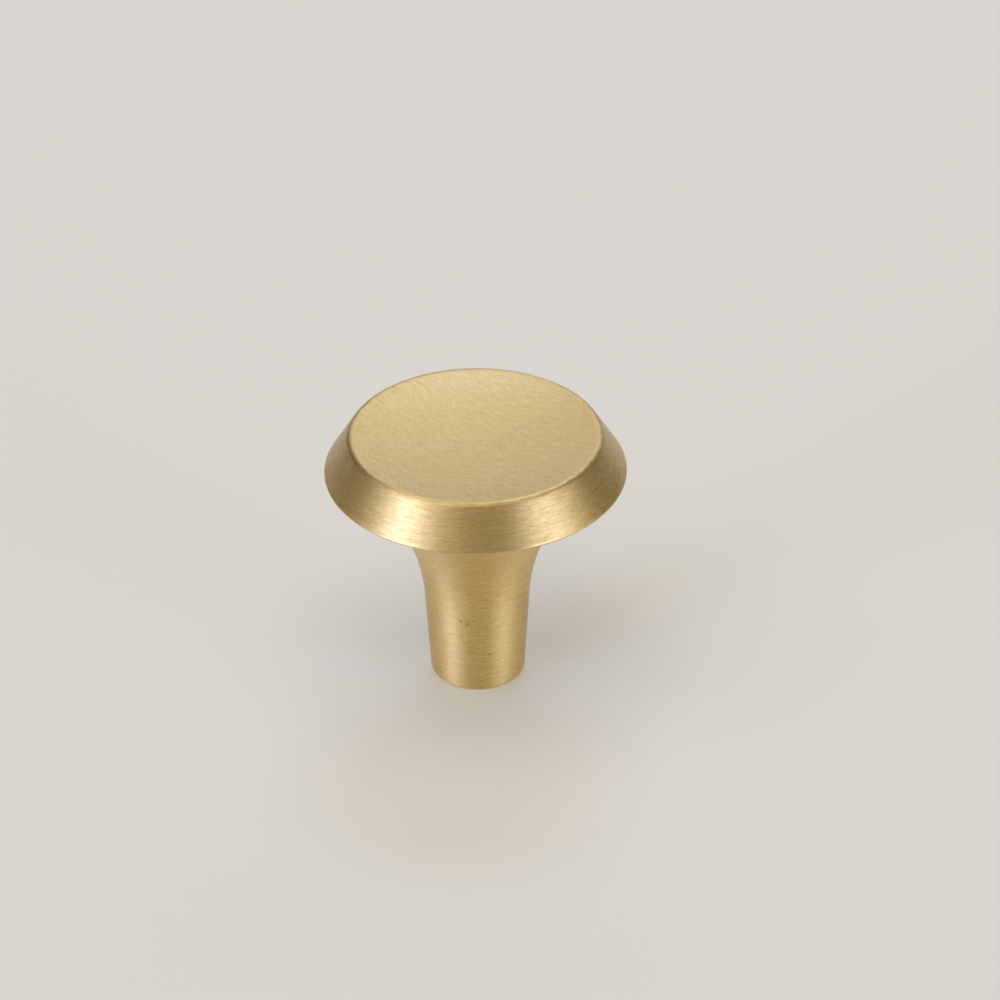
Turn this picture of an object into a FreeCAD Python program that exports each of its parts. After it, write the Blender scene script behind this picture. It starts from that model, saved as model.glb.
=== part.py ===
# A cabinet knob turned from one solid bar of brass. It has a round head with a shallow
# dished face and a wide bevel, a stem that flares up under the head like a trumpet, and a
# blind M4 hole in the foot for the screw that comes through the door or drawer front.
# Millimetres. The foot stands on Z = 0 and the axis of the knob is +Z.

import FreeCAD, Part
import math
import os
import Sketcher

V = FreeCAD.Vector

# Each driving size with its value and what it measures. Diameters and heights of the
# profile are to its sharp corners, before they are rounded.
SIZES = [
    ("overall_height", 28.2, "foot to the ridge round the face"),
    ("head_diameter", 30.0, "over the rim, the widest part"),
    ("bevel_width", 2.5, "rim to ridge, measured along the radius"),
    ("bevel_height", 4.0, "rim to ridge, measured along the axis"),
    ("rim_height", 0.3, "upright band under the bevel"),
    ("dish_depth", 1.04, "middle of the face below the ridge"),
    ("underside_width", 3.2, "flat ring between the rim and the flare"),
    ("waist_height", 9.4, "foot to the start of the flare"),
    ("waist_diameter", 10.7, "stem where the flare starts"),
    ("foot_diameter", 9.6, "stem where it meets the door"),
    ("ridge_round", 0.6, "radius of the edge between the face and the bevel"),
    ("foot_round", 0.5, "radius of the edge of the foot"),
    ("screw_diameter", 4.0, "M4, the wall of the hole at the roots of its thread"),
    ("hole_depth", 12.0, "foot to the end of the hole's straight wall"),
    ("drill_point_angle", 118.0, "full angle of the cone that closes the hole"),
    ("mouth_width", 0.45, "countersink round the mouth, measured along the radius"),
    ("mouth_angle", 90.0, "full angle of that countersink"),
]

# How a sketch counts its origin and height axis, and the points of a curve.
ORIGIN, HEIGHT_AXIS = range(-1, -3, -1)
START, END, CENTRE = range(1, 4)

doc = FreeCAD.newDocument("cabinet_knob")


def make_sheet():
    sheet = doc.addObject("Spreadsheet::Sheet", "sizes")
    for row, (alias, value, meaning) in enumerate(SIZES, start=1):
        sheet.set(f"A{row}", alias)
        sheet.set(f"B{row}", str(value))
        sheet.set(f"C{row}", meaning)
        sheet.setAlias(f"B{row}", alias)
    doc.recompute()
    return sheet


sizes = make_sheet()


def size(alias):
    return float(sizes.get(alias))


def profile_corners():
    """Sharp corners of the half section, X the radius and Y the height."""
    rim_radius = size("head_diameter") / 2
    top = size("overall_height")
    rim_top = top - size("bevel_height")
    underside = rim_top - size("rim_height")
    return {
        "foot_centre": V(0, 0),
        "foot": V(size("foot_diameter") / 2, 0),
        "waist": V(size("waist_diameter") / 2, size("waist_height")),
        "neck": V(rim_radius - size("underside_width"), underside),
        "rim_low": V(rim_radius, underside),
        "rim_high": V(rim_radius, rim_top),
        "ridge": V(rim_radius - size("bevel_width"), top),
        "dish": V(0, top - size("dish_depth")),
    }


def arc_between(centre, start, end):
    """Arc round the centre, anticlockwise from start to end."""
    start_angle = math.atan2(start.y - centre.y, start.x - centre.x)
    end_angle = math.atan2(end.y - centre.y, end.x - centre.x)
    circle = Part.Circle(centre, V(0, 0, 1), start.distanceToPoint(centre))
    return Part.ArcOfCircle(circle, start_angle, end_angle)


def flare_arc(corner):
    """Arc that leaves the stem at the waist without a corner and ends at the neck."""
    stem = corner["waist"] - corner["foot"]
    stem.normalize()
    outward = V(stem.y, -stem.x)
    chord = corner["neck"] - corner["waist"]
    radius = chord.dot(chord) / (2 * chord.dot(outward))
    return arc_between(corner["waist"] + outward * radius, corner["neck"], corner["waist"])


def dish_arc(corner):
    """Arc with its centre on the axis, from the middle of the face to the ridge."""
    rise = corner["ridge"].y - corner["dish"].y
    radius = (corner["ridge"].x ** 2 + rise ** 2) / (2 * rise)
    return arc_between(corner["dish"] + V(0, radius), corner["dish"], corner["ridge"])


def origin_plane(body, role):
    return next(feature for feature in body.Origin.OriginFeatures if feature.Role == role)


def new_sketch(body, name, role):
    sketch = body.newObject("Sketcher::SketchObject", name)
    sketch.AttachmentSupport = [(origin_plane(body, role), "")]
    sketch.MapMode = "FlatFace"
    return sketch


def drive(sketch, name, expression, *constraint):
    """Adds one named dimension and ties it to the sheet."""
    index = sketch.addConstraint(Sketcher.Constraint(*constraint))
    sketch.renameConstraint(index, name)
    sketch.setExpression(f"Constraints.{name}", expression)


def middle(curve):
    return curve.value((curve.FirstParameter + curve.LastParameter) / 2)


def round_corner(sketch, first, second, corner, alias):
    """Rounds the corner of two curves, and returns its sharp point for the dimensions."""
    sides = [middle(sketch.Geometry[curve]) for curve in (first, second)]
    arc = sketch.GeometryCount
    sketch.fillet(first, second, *sides, size(alias), True, False)
    drive(sketch, alias, f"sizes.{alias}", "Radius", arc, size(alias))
    point = sketch.addGeometry(Part.Point(corner), True)
    for curve in (first, second):
        sketch.addConstraint(Sketcher.Constraint("PointOnObject", point, START, curve))
    return point


def draw_profile(sketch):
    """Half section of the solid knob, from the axis out to the rim and back."""
    corner = profile_corners()

    def line(start, end):
        return sketch.addGeometry(Part.LineSegment(corner[start], corner[end]))

    foot = line("foot_centre", "foot")
    stem = line("foot", "waist")
    flare = sketch.addGeometry(flare_arc(corner))
    underside = line("neck", "rim_low")
    rim = line("rim_low", "rim_high")
    bevel = line("rim_high", "ridge")
    dish = sketch.addGeometry(dish_arc(corner))
    axis = line("dish", "foot_centre")

    relations = [
        ("Coincident", foot, START, ORIGIN, START),
        ("Coincident", stem, START, foot, END),
        ("Tangent", stem, END, flare, END),
        ("Coincident", underside, START, flare, START),
        ("Coincident", rim, START, underside, END),
        ("Coincident", bevel, START, rim, END),
        ("Coincident", dish, END, bevel, END),
        ("Coincident", axis, START, dish, START),
        ("Coincident", axis, END, foot, START),
        ("Horizontal", foot),
        ("Horizontal", underside),
        ("Vertical", rim),
        ("PointOnObject", dish, START, HEIGHT_AXIS),
        ("PointOnObject", dish, CENTRE, HEIGHT_AXIS),
    ]
    for relation in relations:
        sketch.addConstraint(Sketcher.Constraint(*relation))
    foot_edge = round_corner(sketch, foot, stem, corner["foot"], "foot_round")
    ridge = round_corner(sketch, bevel, dish, corner["ridge"], "ridge_round")

    drive(sketch, "foot_radius", "sizes.foot_diameter / 2",
          "DistanceX", ORIGIN, START, foot_edge, START, corner["foot"].x)
    drive(sketch, "waist_radius", "sizes.waist_diameter / 2",
          "DistanceX", ORIGIN, START, stem, END, corner["waist"].x)
    drive(sketch, "waist_height", "sizes.waist_height",
          "DistanceY", ORIGIN, START, stem, END, corner["waist"].y)
    drive(sketch, "underside_width", "sizes.underside_width",
          "DistanceX", underside, START, underside, END, size("underside_width"))
    drive(sketch, "head_radius", "sizes.head_diameter / 2",
          "DistanceX", ORIGIN, START, rim, END, corner["rim_high"].x)
    drive(sketch, "rim_height", "sizes.rim_height",
          "DistanceY", rim, START, rim, END, size("rim_height"))
    drive(sketch, "bevel_width", "sizes.bevel_width",
          "DistanceX", ridge, START, rim, END, size("bevel_width"))
    drive(sketch, "bevel_height", "sizes.bevel_height",
          "DistanceY", rim, END, ridge, START, size("bevel_height"))
    drive(sketch, "overall_height", "sizes.overall_height",
          "DistanceY", ORIGIN, START, ridge, START, corner["ridge"].y)
    drive(sketch, "dish_depth", "sizes.dish_depth",
          "DistanceY", dish, START, ridge, START, size("dish_depth"))


def turn_blank(body):
    sketch = new_sketch(body, "profile", "XZ_Plane")
    draw_profile(sketch)
    turned = body.newObject("PartDesign::Revolution", "turned_blank")
    turned.Profile = sketch
    turned.ReferenceAxis = (sketch, ["V_Axis"])
    turned.Angle = 360
    doc.recompute()
    if not sketch.FullyConstrained:
        raise RuntimeError("the profile has a free dimension")
    return turned


def drill_hole(body, base):
    """Blind hole up from the foot, with a countersunk mouth and a drilled end."""
    sketch = new_sketch(body, "hole_centre", "XY_Plane")
    circle = sketch.addGeometry(Part.Circle(V(), V(0, 0, 1), size("screw_diameter") / 2))
    sketch.addConstraint(Sketcher.Constraint("Coincident", circle, CENTRE, ORIGIN, START))
    drive(sketch, "hole_diameter", "sizes.screw_diameter",
          "Diameter", circle, size("screw_diameter"))
    doc.recompute()

    hole = body.newObject("PartDesign::Hole", "screw_hole")
    hole.Profile = sketch
    hole.Reversed = True
    hole.ThreadType = "None"
    hole.DepthType = "Dimension"
    hole.DrillPoint = "Angled"
    hole.HoleCutType = "Countersink"
    hole.HoleCutCustomValues = True
    hole.setExpression("Diameter", "sizes.screw_diameter")
    hole.setExpression("Depth", "sizes.hole_depth")
    hole.setExpression("DrillPointAngle", "sizes.drill_point_angle")
    hole.setExpression("HoleCutDiameter", "sizes.screw_diameter + 2 * sizes.mouth_width")
    hole.setExpression("HoleCutCountersinkAngle", "sizes.mouth_angle")
    doc.recompute()

    bore_volume = math.pi * (size("screw_diameter") / 2) ** 2 * size("hole_depth")
    if base.Shape.Volume - hole.Shape.Volume < bore_volume:
        raise RuntimeError("the screw hole misses the knob")
    return hole


def make_knob():
    body = doc.addObject("PartDesign::Body", "knob")
    body.Label = "knob"
    body.Tip = drill_hole(body, turn_blank(body))
    body.Placement = FreeCAD.Placement()
    doc.recompute()
    return body


def check(parts):
    for item in doc.Objects:
        if "Invalid" in item.State or "Error" in item.State:
            raise RuntimeError(f"{item.Name} failed: {item.State}")
    for part in parts:
        if part.Shape.isNull() or not part.Shape.isValid():
            raise RuntimeError(f"{part.Label} has no valid shape")


parts = [make_knob()]
check(parts)
os.makedirs("parts", exist_ok=True)
for part in parts:
    part.Shape.exportStep(f"parts/{part.Label}.step")
    box = part.Shape.optimalBoundingBox()
    print(f"{part.Label}: {part.Shape.Volume:.1f} mm3, {len(part.Shape.Solids)} solid,"
          f" {box.XLength:.3f} x {box.YLength:.3f} x {box.ZLength:.3f} mm")
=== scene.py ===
from math import cos, pi, radians, sin, tan

import bmesh
import bpy
from mathutils import Matrix, Vector


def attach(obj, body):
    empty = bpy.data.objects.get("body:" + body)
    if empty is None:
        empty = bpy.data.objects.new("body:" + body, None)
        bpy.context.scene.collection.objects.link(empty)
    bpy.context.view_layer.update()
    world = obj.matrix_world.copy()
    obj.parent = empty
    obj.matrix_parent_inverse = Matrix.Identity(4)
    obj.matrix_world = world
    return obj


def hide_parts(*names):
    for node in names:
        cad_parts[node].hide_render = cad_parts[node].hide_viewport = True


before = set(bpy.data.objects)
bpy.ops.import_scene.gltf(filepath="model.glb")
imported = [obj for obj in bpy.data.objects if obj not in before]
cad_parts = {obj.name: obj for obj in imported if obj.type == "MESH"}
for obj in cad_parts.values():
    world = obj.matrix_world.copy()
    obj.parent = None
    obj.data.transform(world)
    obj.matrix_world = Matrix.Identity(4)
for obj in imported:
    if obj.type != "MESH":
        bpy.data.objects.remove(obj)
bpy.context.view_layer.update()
mm = 0.001

# The turned knob, in millimetres. Diameters and heights are to the sharp corners.
knobShape = {
    "height": 28.2,
    "headDiameter": 30.0,
    "bevelWidth": 2.5,
    "bevelHeight": 4.0,
    "rimHeight": 0.3,
    "dishDepth": 1.04,
    "undersideWidth": 3.2,
    "waistHeight": 9.4,
    "waistDiameter": 10.7,
    "footDiameter": 9.6,
    "boreDiameter": 4.0,
    "boreDepth": 12.0,
    "drillPointAngle": 118.0,
    "mouthWidth": 0.45,
    "ridgeRound": 0.6,
    "rimTopRound": 0.2,
    "rimLowRound": 0.24,
    "neckRound": 0.5,
    "footRound": 0.5,
    "threadPitch": 0.7,
    "threadDepth": 0.36,
    "crestWidening": 1.15,
    "turnSteps": 240,
    "cornerSteps": 8,
    "flareSteps": 40,
    "dishSteps": 24,
    "rowsPerPitch": 12,
}

# How far a point may lie from the surface it is looked for on, in metres.
nearby = 1e-6


# One outline drawn point by point in the XZ plane, ready to be spun round the axis. Rows cut
# a straight line into equal lengths.
def startOutline(bm, x, z):
    return bm.verts.new((x * mm, 0, z * mm))


def lineTo(bm, last, point, rows=1):
    start = last.co.copy()
    for row in range(1, rows + 1):
        last = bmesh.ops.extrude_vert_indiv(bm, verts=[last])["verts"][0]
        last.co = start.lerp(point, row / rows)
    return last


def arcAround(bm, last, centre, angle, steps):
    made = bmesh.ops.spin(
        bm, geom=[last], cent=centre, axis=(0, 1, 0), angle=angle, steps=steps)
    return next(item for item in made["geom_last"] if isinstance(item, bmesh.types.BMVert))


def roundCorner(bm, last, before, corner, after, radius, steps, rows=1):
    toBefore = (before - corner).normalized()
    toAfter = (after - corner).normalized()
    half = toBefore.angle(toAfter) / 2
    last = lineTo(bm, last, corner + toBefore * radius / tan(half), rows)
    centre = corner + (toBefore + toAfter).normalized() * radius / sin(half)
    turn = pi - 2 * half
    if toBefore.cross(toAfter).y > 0:
        turn = -turn
    return arcAround(bm, last, centre, turn, steps)


def sectionPoint(x, z):
    return Vector((x * mm, 0, z * mm))


def drawOutline(bm, shape):
    steps = shape["cornerSteps"]
    headRadius = shape["headDiameter"] / 2
    boreRadius = shape["boreDiameter"] / 2
    rimTop = shape["height"] - shape["bevelHeight"]
    underside = rimTop - shape["rimHeight"]
    pointHeight = boreRadius / tan(radians(shape["drillPointAngle"] / 2))
    foot = sectionPoint(shape["footDiameter"] / 2, 0)
    waist = sectionPoint(shape["waistDiameter"] / 2, shape["waistHeight"])
    neck = sectionPoint(headRadius - shape["undersideWidth"], underside)
    rimLow = sectionPoint(headRadius, underside)
    rimHigh = sectionPoint(headRadius, rimTop)
    ridge = sectionPoint(headRadius - shape["bevelWidth"], shape["height"])

    # hole from its drilled point down to the mouth
    last = startOutline(bm, 0, shape["boreDepth"] + pointHeight)
    last = lineTo(bm, last, sectionPoint(boreRadius, shape["boreDepth"]), 4)
    turns = (shape["boreDepth"] - shape["mouthWidth"]) / shape["threadPitch"]
    wallRows = round(turns * shape["rowsPerPitch"])
    last = lineTo(bm, last, sectionPoint(boreRadius, shape["mouthWidth"]), wallRows)
    last = lineTo(bm, last, sectionPoint(boreRadius + shape["mouthWidth"], 0), 2)

    # foot and straight stem
    footRound = shape["footRound"] * mm
    last = roundCorner(bm, last, sectionPoint(0, 0), foot, waist, footRound, steps, 2)
    last = lineTo(bm, last, waist, 6)

    # trumpet flare, tangent to the stem
    along = (waist - foot).normalized()
    outward = Vector((along.z, 0, -along.x))
    chord = neck - waist
    radius = chord.dot(chord) / (2 * chord.dot(outward))
    centre = waist + outward * radius
    sweep = (waist - centre).angle(neck - centre)
    tangent = Vector((neck.z - centre.z, 0, centre.x - neck.x)).normalized()
    neckRadius = shape["neckRound"] * mm
    half = (-tangent).angle(rimLow - neck) / 2
    cutBack = neckRadius / tan(half)
    last = arcAround(bm, last, centre, sweep - cutBack / radius, shape["flareSteps"])
    last = roundCorner(bm, last, neck - tangent, neck, rimLow, neckRadius, steps)

    # rim, bevel and ridge
    last = roundCorner(bm, last, neck, rimLow, rimHigh, shape["rimLowRound"] * mm, steps, 4)
    last = roundCorner(bm, last, rimLow, rimHigh, ridge, shape["rimTopRound"] * mm, steps)
    dishRise = shape["dishDepth"] * mm
    dishRadius = (ridge.x ** 2 + dishRise ** 2) / (2 * dishRise)
    dishCentre = Vector((0, 0, ridge.z - dishRise + dishRadius))
    inward = Vector((ridge.z - dishCentre.z, 0, -ridge.x)).normalized()
    ridgeRound = shape["ridgeRound"] * mm
    last = roundCorner(bm, last, rimHigh, ridge, ridge + inward, ridgeRound, steps, 6)

    # dished face, in to the axis
    away = last.co - dishCentre
    sweep = Vector((0, 0, -1)).angle(away)
    last = arcAround(bm, last, dishCentre, sweep, shape["dishSteps"])
    last.co.x = 0


# Pushes the wall of the bore inwards along a right-handed spiral.
def cutThread(bm, shape):
    boreRadius = shape["boreDiameter"] / 2 * mm
    pitch = shape["threadPitch"] * mm
    low = shape["mouthWidth"] * mm
    high = shape["boreDepth"] * mm
    for vert in bm.verts:
        radius = vert.co.xy.length
        onWall = abs(radius - boreRadius) <= nearby
        if not onWall or not low - nearby < vert.co.z < high + nearby:
            continue
        turn = vert.co.xy.to_2d().angle_signed(Vector((1, 0)), 0) / (2 * pi)
        phase = (vert.co.z / pitch + turn) % 1
        crest = min(1, (1 - abs(2 * phase - 1)) * shape["crestWidening"])
        fade = min(1, (vert.co.z - low) / pitch, (high - vert.co.z) / (2 * pitch))
        ridgeHeight = shape["threadDepth"] * mm * crest * max(0, fade)
        vert.co.xy *= (boreRadius - ridgeHeight) / radius


# Material slots: 0 the lathe-brushed sides, 1 the face, 2 the foot and the hole.
def makeKnob(shape):
    bm = bmesh.new()
    drawOutline(bm, shape)
    bmesh.ops.spin(bm, geom=bm.verts[:] + bm.edges[:], cent=(0, 0, 0), axis=(0, 0, 1),
                   angle=2 * pi, steps=shape["turnSteps"], use_merge=True)
    bmesh.ops.remove_doubles(bm, verts=bm.verts[:], dist=1e-7)
    cutThread(bm, shape)
    bmesh.ops.recalc_face_normals(bm, faces=bm.faces[:])
    faceLow = (shape["height"] - shape["dishDepth"]) * mm
    facingUp = 0.98
    boreTop = (shape["boreDepth"] + shape["boreDiameter"]) * mm
    mouthRadius = (shape["boreDiameter"] / 2 + shape["mouthWidth"]) * mm
    for face in bm.faces:
        face.smooth = True
        middle = face.calc_center_median()
        inHole = middle.z < boreTop and middle.xy.length < mouthRadius + nearby
        if middle.z > faceLow - nearby and face.normal.z > facingUp:
            face.material_index = 1
        elif middle.z < nearby or inHole:
            face.material_index = 2
    mesh = bpy.data.meshes.new("turnedKnob")
    bm.to_mesh(mesh)
    bm.free()
    knob = bpy.data.objects.new("turned_knob", mesh)
    bpy.context.collection.objects.link(knob)
    return knob


def linearColour(hexText):
    channels = [int(hexText[i:i + 2], 16) / 255 for i in (1, 3, 5)]
    linear = [c / 12.92 if c <= 0.04045 else ((c + 0.055) / 1.055) ** 2.4 for c in channels]
    return (*linear, 1)


# Adds a node, sets its sockets and properties, and links its inputs. A socket goes by its
# name, or by its number where the node has several of one name.
def addNode(tree, kind, settings=None, links=None):
    node = tree.nodes.new(kind)
    for name, value in (settings or {}).items():
        if isinstance(name, int) or name in node.inputs:
            node.inputs[name].default_value = value
        else:
            setattr(node, name, value)
    for name, source in (links or {}).items():
        tree.links.new(source, node.inputs[name])
    return node


def newMaterial(name):
    material = bpy.data.materials.new(name)
    material.use_nodes = True
    material.node_tree.nodes.clear()
    return material, material.node_tree


# Satin brass under a thin clear lacquer. Lengths are in millimetres.
brassFinish = {
    "brightBrass": "#E8C87C",
    "dullBrass": "#CAA755",
    "pitBrass": "#97703A",
    "roughness": 0.49,
    "roughnessSpread": 0.07,
    "anisotropic": 0.58,
    "lacquerWeight": 0.55,
    "lacquerRoughness": 0.28,
    "pitDepth": 0.02,
    "speckSpacing": 1.2,
    "speckRadius": 0.07,
    "speckShare": 0.6,
    "strokeDetail": 2.0,
    "strokeRoughness": 0.6,
}


# Millimetres from the middle of the foot.
def pointInMillimetres(tree):
    coords = addNode(tree, "ShaderNodeTexCoord").outputs["Object"]
    scaled = addNode(tree, "ShaderNodeVectorMath", {"operation": "SCALE", "Scale": 1 / mm},
                     {0: coords})
    return scaled.outputs[0]


# Two layers of fine strokes, each with its place and its strokes per millimetre on each axis,
# mixed by share and stretched from the low and high of their noise to 0 and 1.
def mixStrokes(tree, finish, layers, share, low, high):
    noises = []
    for place, density in layers:
        spread = addNode(tree, "ShaderNodeVectorMath", {"operation": "MULTIPLY", 1: density},
                         {0: place})
        noise = addNode(tree, "ShaderNodeTexNoise", {
            "Scale": 1.0, "Detail": finish["strokeDetail"],
            "Roughness": finish["strokeRoughness"]}, {"Vector": spread.outputs[0]})
        noises.append(noise.outputs[0])
    both = addNode(tree, "ShaderNodeMix", {"Factor": share}, {"A": noises[0], "B": noises[1]})
    streaks = addNode(tree, "ShaderNodeMapRange", {"From Min": low, "From Max": high},
                      {"Value": both.outputs[0]})
    return streaks.outputs[0]


# Shared end of each brass. Streaks from 0 to 1 vary its colour and gloss, relief is its
# height in millimetres, and pits from 0 to 1 are the small dents left in the bar.
def finishBrass(tree, finish, point, streaks, relief, pits, tangent):
    cell = addNode(tree, "ShaderNodeTexVoronoi", {"Scale": 1 / finish["speckSpacing"]},
                   {"Vector": point})
    speck = addNode(tree, "ShaderNodeMapRange", {
        "interpolation_type": "SMOOTHSTEP",
        "From Max": finish["speckRadius"] / finish["speckSpacing"], "To Min": 1.0, "To Max": 0.0},
        {"Value": cell.outputs["Distance"]})
    chosen = addNode(tree, "ShaderNodeMath", {
        "operation": "GREATER_THAN", 1: finish["speckShare"]}, {0: cell.outputs["Color"]})
    specks = addNode(tree, "ShaderNodeMath", {"operation": "MULTIPLY"},
                     {0: speck.outputs[0], 1: chosen.outputs[0]})
    if pits:
        specks = addNode(tree, "ShaderNodeMath", {"operation": "MAXIMUM"},
                         {0: specks.outputs[0], 1: pits})

    brass = addNode(tree, "ShaderNodeMix", {
        "data_type": "RGBA", 6: linearColour(finish["dullBrass"]),
        7: linearColour(finish["brightBrass"])}, {0: streaks})
    colour = addNode(tree, "ShaderNodeMix", {
        "data_type": "RGBA", 7: linearColour(finish["pitBrass"])},
        {0: specks.outputs[0], 6: brass.outputs[2]})
    low = finish["roughness"] - finish["roughnessSpread"] / 2
    rough = addNode(tree, "ShaderNodeMapRange", {
        "To Min": low + finish["roughnessSpread"], "To Max": low}, {"Value": streaks})
    height = addNode(tree, "ShaderNodeMath", {
        "operation": "MULTIPLY_ADD", 1: -finish["pitDepth"]}, {0: specks.outputs[0], 2: relief})
    bump = addNode(tree, "ShaderNodeBump", {"Strength": 1.0, "Distance": mm},
                   {"Height": height.outputs[0]})
    shader = addNode(tree, "ShaderNodeBsdfPrincipled", {
        "Metallic": 1.0, "Anisotropic": finish["anisotropic"],
        "Coat Weight": finish["lacquerWeight"], "Coat Roughness": finish["lacquerRoughness"]},
        {"Base Color": colour.outputs[2], "Roughness": rough.outputs[0],
         "Normal": bump.outputs[0], "Tangent": tangent})
    addNode(tree, "ShaderNodeOutputMaterial", None, {"Surface": shader.outputs[0]})


# Lathe brushing. Real grooves are near 0.05 mm apart, and are drawn at 0.12 mm so that they
# show. The stem is brushed coarser than the head.
sideBrush = {
    "pitch": 0.12,
    "streakLength": 1.8,
    "shortPitch": 0.096,
    "shortStreakLength": 0.6,
    "shortShare": 0.5,
    "noiseLow": 0.33,
    "noiseHigh": 0.67,
    "radiusShare": 0.37,
    "stemGroove": 0.006,
    "headGroove": 0.0012,
    "stemTop": 19.0,
    "headStart": 23.0,
    "pitRadius": 0.24,
    "pits": ((-1.65, -5.09, 9.02), (-1.02, -5.24, 8.76), (1.21, -4.95, 4.77)),
}


def sideBrass(finish, brush):
    # brass brushed while it turned: fine bright streaks round the axis, which pull highlights tall
    material, tree = newMaterial("lathe-brushed brass, lacquered")
    point = pointInMillimetres(tree)
    flat = addNode(tree, "ShaderNodeVectorMath", {"operation": "MULTIPLY", 1: (1, 1, 0)},
                   {0: point})
    radius = addNode(tree, "ShaderNodeVectorMath", {"operation": "LENGTH"}, {0: flat.outputs[0]})
    outward = addNode(tree, "ShaderNodeVectorMath", {"operation": "NORMALIZE"},
                      {0: flat.outputs[0]})
    height = addNode(tree, "ShaderNodeSeparateXYZ", None, {0: point}).outputs["Z"]
    # height and radius together, so that streaks also run round the flat under the head
    level = addNode(tree, "ShaderNodeMath", {
        "operation": "MULTIPLY_ADD", 1: brush["radiusShare"]},
        {0: radius.outputs["Value"], 2: height})
    level = addNode(tree, "ShaderNodeCombineXYZ", None, {"Z": level.outputs[0]})
    place = addNode(tree, "ShaderNodeVectorMath", {"operation": "ADD"},
                    {0: flat.outputs[0], 1: level.outputs[0]})
    layers = []
    for length, pitch in ((brush["streakLength"], brush["pitch"]),
                          (brush["shortStreakLength"], brush["shortPitch"])):
        layers.append((place.outputs[0], (1 / length, 1 / length, 1 / pitch)))
    streaks = mixStrokes(tree, finish, layers, brush["shortShare"], brush["noiseLow"],
                         brush["noiseHigh"])
    # deeper on the stem, finer on the head
    depth = addNode(tree, "ShaderNodeMapRange", {
        "From Min": brush["stemTop"], "From Max": brush["headStart"],
        "To Min": brush["stemGroove"], "To Max": brush["headGroove"]}, {"Value": height})
    relief = addNode(tree, "ShaderNodeMath", {"operation": "MULTIPLY"},
                     {0: streaks, 1: depth.outputs[0]})
    pits = None
    for pitPlace in brush["pits"]:
        away = addNode(tree, "ShaderNodeVectorMath", {"operation": "DISTANCE", 1: pitPlace},
                       {0: point})
        pit = addNode(tree, "ShaderNodeMapRange", {
            "interpolation_type": "SMOOTHSTEP", "From Max": brush["pitRadius"],
            "To Min": 1.0, "To Max": 0.0}, {"Value": away.outputs["Value"]})
        if pits:
            pit = addNode(tree, "ShaderNodeMath", {"operation": "MAXIMUM"},
                          {0: pits, 1: pit.outputs[0]})
        pits = pit.outputs[0]
    # grooves run round the axis, and the sheen spreads across them
    normal = addNode(tree, "ShaderNodeNewGeometry").outputs["Normal"]
    groove = addNode(tree, "ShaderNodeVectorMath", {"operation": "CROSS_PRODUCT", 0: (0, 0, 1)},
                     {1: outward.outputs[0]})
    across = addNode(tree, "ShaderNodeVectorMath", {"operation": "CROSS_PRODUCT"},
                     {0: normal, 1: groove.outputs[0]})
    finishBrass(tree, finish, point, streaks, relief.outputs[0], pits, across.outputs[0])
    return material


# Hand-brushed arcs across the face, all round one far centre, and fainter strokes over them.
faceBrush = {
    "arcCentre": (20.0, 35.0, 0.0),
    "pitch": 0.17,
    "streakLength": 1.5,
    "crossPitch": 0.25,
    "crossLength": 1.6,
    "crossShare": 0.27,
    "noiseLow": 0.25,
    "noiseHigh": 0.75,
    "wander": 0.9,
    "wanderSize": 6.0,
    "patchSize": 4.0,
    "patchLow": 0.35,
    "patchHigh": 0.65,
    "lightGroove": 0.0008,
    "deepGroove": 0.0024,
}


def faceBrass(finish, brush):
    # the dished face was brushed last, in shallow arcs: a soft even sheen with faint curved lines
    material, tree = newMaterial("arc-brushed brass, lacquered")
    point = pointInMillimetres(tree)
    fromCentre = addNode(tree, "ShaderNodeVectorMath", {
        "operation": "SUBTRACT", 1: brush["arcCentre"]}, {0: point})
    flat = addNode(tree, "ShaderNodeVectorMath", {"operation": "MULTIPLY", 1: (1, 1, 0)},
                   {0: fromCentre.outputs[0]})
    distance = addNode(tree, "ShaderNodeVectorMath", {"operation": "LENGTH"}, {0: flat.outputs[0]})
    # strokes wander a little off their circles
    drift = addNode(tree, "ShaderNodeTexNoise", {
        "Scale": 1 / brush["wanderSize"], "Detail": 1.0}, {"Vector": point})
    ring = addNode(tree, "ShaderNodeMath", {"operation": "MULTIPLY_ADD", 1: brush["wander"]},
                   {0: drift.outputs[0], 2: distance.outputs["Value"]})
    split = addNode(tree, "ShaderNodeSeparateXYZ", None, {0: point})
    along = addNode(tree, "ShaderNodeCombineXYZ", None, {
        "X": ring.outputs[0], "Y": split.outputs["X"]})
    layers = []
    for place, pitch, length in ((along.outputs[0], brush["pitch"], brush["streakLength"]),
                                 (point, brush["crossPitch"], brush["crossLength"])):
        layers.append((place, (1 / pitch, 1 / length, 0)))
    streaks = mixStrokes(tree, finish, layers, brush["crossShare"], brush["noiseLow"],
                         brush["noiseHigh"])
    # pressed harder in some places than in others
    patch = addNode(tree, "ShaderNodeTexNoise", {
        "Scale": 1 / brush["patchSize"], "Detail": 1.0}, {"Vector": point})
    depth = addNode(tree, "ShaderNodeMapRange", {
        "From Min": brush["patchLow"], "From Max": brush["patchHigh"],
        "To Min": brush["lightGroove"], "To Max": brush["deepGroove"]},
        {"Value": patch.outputs[0]})
    relief = addNode(tree, "ShaderNodeMath", {"operation": "MULTIPLY"},
                     {0: streaks, 1: depth.outputs[0]})
    across = addNode(tree, "ShaderNodeVectorMath", {"operation": "NORMALIZE"}, {0: flat.outputs[0]})
    finishBrass(tree, finish, point, streaks, relief.outputs[0], None, across.outputs[0])
    return material


# The cutter's rings on the foot and in the hole.
footCut = {"ringPitch": 0.2, "groove": 0.002}


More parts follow.
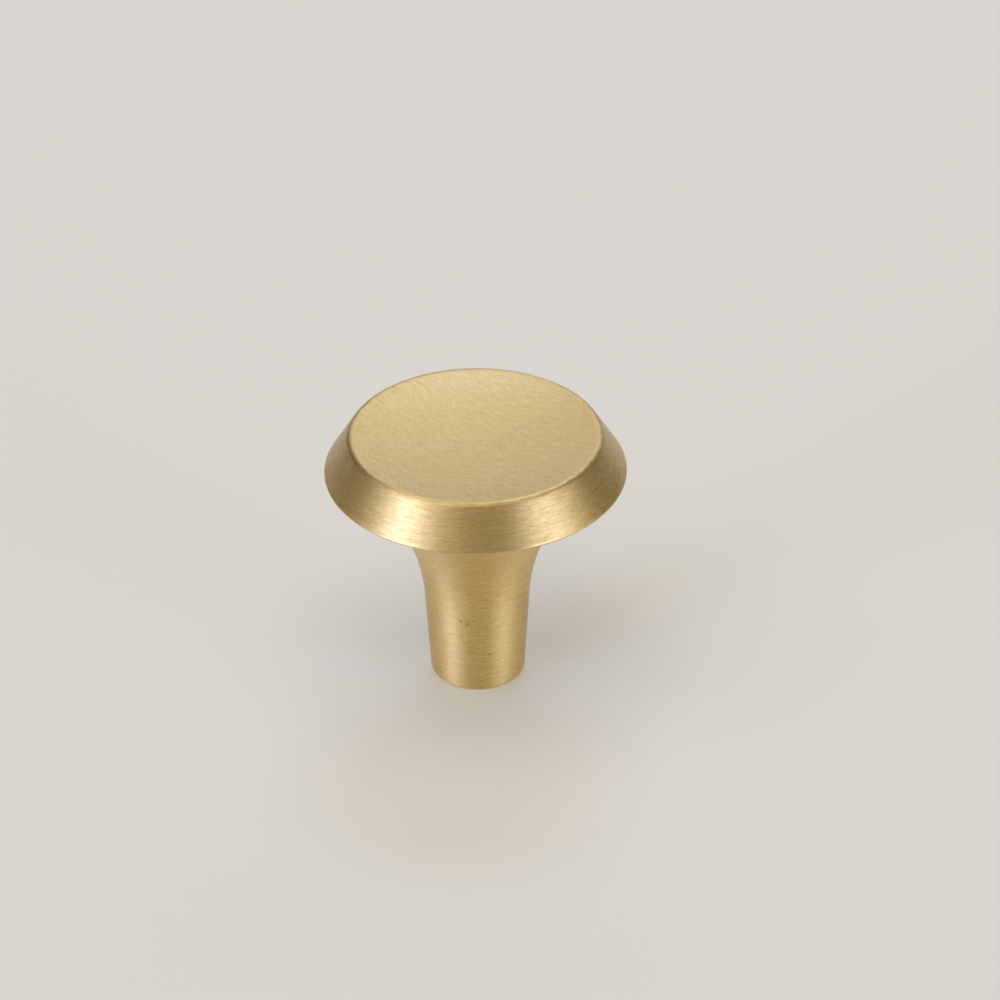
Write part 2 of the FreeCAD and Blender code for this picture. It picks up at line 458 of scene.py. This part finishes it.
def turnedBrass(finish, cut):
    # foot and hole as the cutter left them: plain turned brass, a little duller, with fine rings
    material, tree = newMaterial("turned brass")
    point = pointInMillimetres(tree)
    flat = addNode(tree, "ShaderNodeVectorMath", {"operation": "MULTIPLY", 1: (1, 1, 0)},
                   {0: point})
    radius = addNode(tree, "ShaderNodeVectorMath", {"operation": "LENGTH"}, {0: flat.outputs[0]})
    height = addNode(tree, "ShaderNodeSeparateXYZ", None, {0: point}).outputs["Z"]
    level = addNode(tree, "ShaderNodeMath", {"operation": "ADD"},
                    {0: radius.outputs["Value"], 1: height})
    rings = addNode(tree, "ShaderNodeTexNoise", {
        "noise_dimensions": "1D", "Scale": 1 / cut["ringPitch"], "Detail": finish["strokeDetail"]},
        {"W": level.outputs[0]})
    relief = addNode(tree, "ShaderNodeMath", {"operation": "MULTIPLY", 1: cut["groove"]},
                     {0: rings.outputs[0]})
    across = addNode(tree, "ShaderNodeVectorMath", {"operation": "NORMALIZE"}, {0: flat.outputs[0]})
    finishBrass(tree, finish, point, rings.outputs[0], relief.outputs[0], None, across.outputs[0])
    return material


# Lengths in metres. The lift is a glow for the rays that see the floor. It weakens beside
# the foot, as a painted contact shadow, and fades out beyond the picture, so that the floor
# round the knob is a painted pool of light.
floorFinish = {
    "colour": "#ABAFAE",
    "roughness": 0.55,
    "specular": 0.25,
    "size": 6.0,
    "liftColour": "#FFEFC3",
    "lift": 0.39,
    "paintedShadow": 0.76,
    "paintedShadowNear": 0.004,
    "paintedShadowFar": 0.026,
    "lightPoolFadeNear": 0.18,
    "lightPoolFadeFar": 0.6,
}


def makeFloor(finish):
    bm = bmesh.new()
    bmesh.ops.create_grid(bm, x_segments=1, y_segments=1, size=finish["size"] / 2)
    mesh = bpy.data.meshes.new("floor")
    bm.to_mesh(mesh)
    bm.free()
    floor = bpy.data.objects.new("floor", mesh)
    bpy.context.collection.objects.link(floor)
    # matt pale paint, which keeps the soft shadow of the knob
    material, tree = newMaterial("matt paint")
    paint = addNode(tree, "ShaderNodeBsdfPrincipled", {
        "Base Color": linearColour(finish["colour"]), "Roughness": finish["roughness"],
        "Specular IOR Level": finish["specular"]})
    ray = addNode(tree, "ShaderNodeLightPath").outputs
    mirrored = addNode(tree, "ShaderNodeMath", {"operation": "MAXIMUM"},
                       {0: ray["Is Glossy Ray"], 1: ray["Is Transmission Ray"]})
    seen = addNode(tree, "ShaderNodeMath", {"operation": "MAXIMUM"},
                   {0: ray["Is Camera Ray"], 1: mirrored.outputs[0]})
    coords = addNode(tree, "ShaderNodeTexCoord").outputs["Object"]
    away = addNode(tree, "ShaderNodeVectorMath", {"operation": "LENGTH"}, {0: coords})
    # painted contact shadow: the glow is weaker beside the foot, and the stem mirrors that darker
    # floor
    paintedShadow = addNode(tree, "ShaderNodeMapRange", {
        "interpolation_type": "SMOOTHSTEP", "From Min": finish["paintedShadowNear"],
        "From Max": finish["paintedShadowFar"], "To Min": finish["paintedShadow"], "To Max": 1.0},
        {"Value": away.outputs["Value"]})
    # painted pool of light: the glow fades away from the knob, so the floor far off is darker
    fade = addNode(tree, "ShaderNodeMapRange", {
        "interpolation_type": "SMOOTHSTEP", "From Min": finish["lightPoolFadeNear"],
        "From Max": finish["lightPoolFadeFar"], "To Min": 1.0, "To Max": 0.0},
        {"Value": away.outputs["Value"]})
    share = addNode(tree, "ShaderNodeMath", {"operation": "MULTIPLY"},
                    {0: paintedShadow.outputs[0], 1: fade.outputs[0]})
    share = addNode(tree, "ShaderNodeMath", {"operation": "MULTIPLY"},
                    {0: seen.outputs[0], 1: share.outputs[0]})
    lift = addNode(tree, "ShaderNodeMath", {"operation": "MULTIPLY", 1: finish["lift"]},
                   {0: share.outputs[0]})
    glow = addNode(tree, "ShaderNodeEmission", {"Color": linearColour(finish["liftColour"])},
                   {"Strength": lift.outputs[0]})
    both = addNode(tree, "ShaderNodeAddShader", None, {0: paint.outputs[0], 1: glow.outputs[0]})
    addNode(tree, "ShaderNodeOutputMaterial", None, {"Surface": both.outputs[0]})
    mesh.materials.append(material)


# Where the camera stands, and the pixel of the 1000 pixel frame where its target falls.
cameraSetup = {
    "elevation": 34.635,
    "distance": 325.0,
    "targetHeight": 14.0,
    "focalPixels": 3219.5,
    "targetPixelX": 476.65,
    "targetPixelY": 551.8,
    "roll": -0.725,
    "framePixels": 1000,
    "sensor": 36.0,
    "clipStart": 0.01,
}


def addCamera(setup):
    elevation = radians(setup["elevation"])
    roll = radians(setup["roll"])
    back = Vector((0, -cos(elevation), sin(elevation)))
    right = Vector((1, 0, 0))
    up = right.cross(-back)
    rolledRight = right * cos(roll) + up * sin(roll)
    rolledUp = up * cos(roll) - right * sin(roll)
    basis = Matrix((rolledRight, rolledUp, back)).transposed()
    middle = setup["framePixels"] / 2
    seen = Vector((setup["targetPixelX"] - middle, middle - setup["targetPixelY"],
                   -setup["focalPixels"]))
    aim = seen.rotation_difference(Vector((0, 0, -1))).to_matrix()
    data = bpy.data.cameras.new("camera")
    data.sensor_width = setup["sensor"]
    data.lens = setup["focalPixels"] / setup["framePixels"] * setup["sensor"]
    data.clip_start = setup["clipStart"]
    camera = bpy.data.objects.new("camera", data)
    place = Vector((0, 0, setup["targetHeight"] * mm)) + back * setup["distance"] * mm
    camera.matrix_world = Matrix.Translation(place) @ (basis @ aim).to_4x4()
    bpy.context.collection.objects.link(camera)
    bpy.context.scene.camera = camera


# Azimuth is in degrees to the right of the camera; the rest is in degrees, metres and watts.
lampDistance = 1.8
lampSetup = {
    "leftBox": {"azimuth": -54.5, "elevation": 5, "width": 0.7, "height": 0.25,
                "power": 42.42, "colour": "#9BACFF"},
    "leftGlow": {"azimuth": -74, "elevation": 9, "width": 1.0, "height": 0.5,
                 "power": 1.27, "colour": "#FFFCF8"},
    "rightBox": {"azimuth": 53, "elevation": 5, "width": 0.9, "height": 0.25,
                 "power": 25.21, "colour": "#A2B4FF"},
    "rightGlow": {"azimuth": 62, "elevation": 9, "width": 1.7, "height": 0.5,
                  "power": 5.62, "colour": "#F3F4FF"},
    "backBank": {"azimuth": 170, "elevation": 26, "width": 2.0, "height": 0.9,
                 "power": 6.52, "colour": "#D1D8FF"},
    "midBack": {"azimuth": 174, "elevation": 53, "width": 0.9, "height": 0.4,
                "power": 7.49, "colour": "#C3D4FF"},
    "zenith": {"azimuth": 90, "elevation": 84, "width": 1.6, "height": 1.6,
               "power": 2.52, "colour": "#FFFDFF"},
    "sideLeft": {"azimuth": -60, "elevation": 60, "width": 2.0, "height": 1.6,
                 "power": 14.59, "colour": "#F9F8FF"},
    "sideRight": {"azimuth": 62, "elevation": 60, "width": 1.8, "height": 1.4,
                  "power": 3.91, "colour": "#FFEDE3"},
}
worldLight = {"colour": "#3C372F", "strength": 1.0}


def addLamp(name, lamp):
    azimuth = radians(lamp["azimuth"])
    elevation = radians(lamp["elevation"])
    towards = Vector((sin(azimuth) * cos(elevation), -cos(azimuth) * cos(elevation),
                      sin(elevation)))
    data = bpy.data.lights.new(name, "AREA")
    data.shape = "RECTANGLE"
    data.size = lamp["width"]
    data.size_y = lamp["height"]
    data.energy = lamp["power"]
    data.color = linearColour(lamp["colour"])[:3]
    lampObject = bpy.data.objects.new(name, data)
    lampObject.location = towards * lampDistance
    lampObject.rotation_euler = towards.to_track_quat("Z", "Y").to_euler()
    lampObject.visible_camera = False
    bpy.context.collection.objects.link(lampObject)


def addWorld(light):
    world = bpy.data.worlds.new("studio")
    world.use_nodes = True
    background = world.node_tree.nodes["Background"]
    background.inputs["Color"].default_value = linearColour(light["colour"])
    background.inputs["Strength"].default_value = light["strength"]
    bpy.context.scene.world = world


knob = makeKnob(knobShape)
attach(knob, "root")
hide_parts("knob")
knobMaterials = (
    sideBrass(brassFinish, sideBrush),
    faceBrass(brassFinish, faceBrush),
    turnedBrass(brassFinish, footCut),
)
for material in knobMaterials:
    knob.data.materials.append(material)
print("knob turned:", len(knob.data.polygons), "faces")

makeFloor(floorFinish)
addCamera(cameraSetup)
for name, lamp in lampSetup.items():
    addLamp(name, lamp)
addWorld(worldLight)
bpy.context.scene.view_settings.view_transform = "Standard"
print("stage, camera and lamps set")
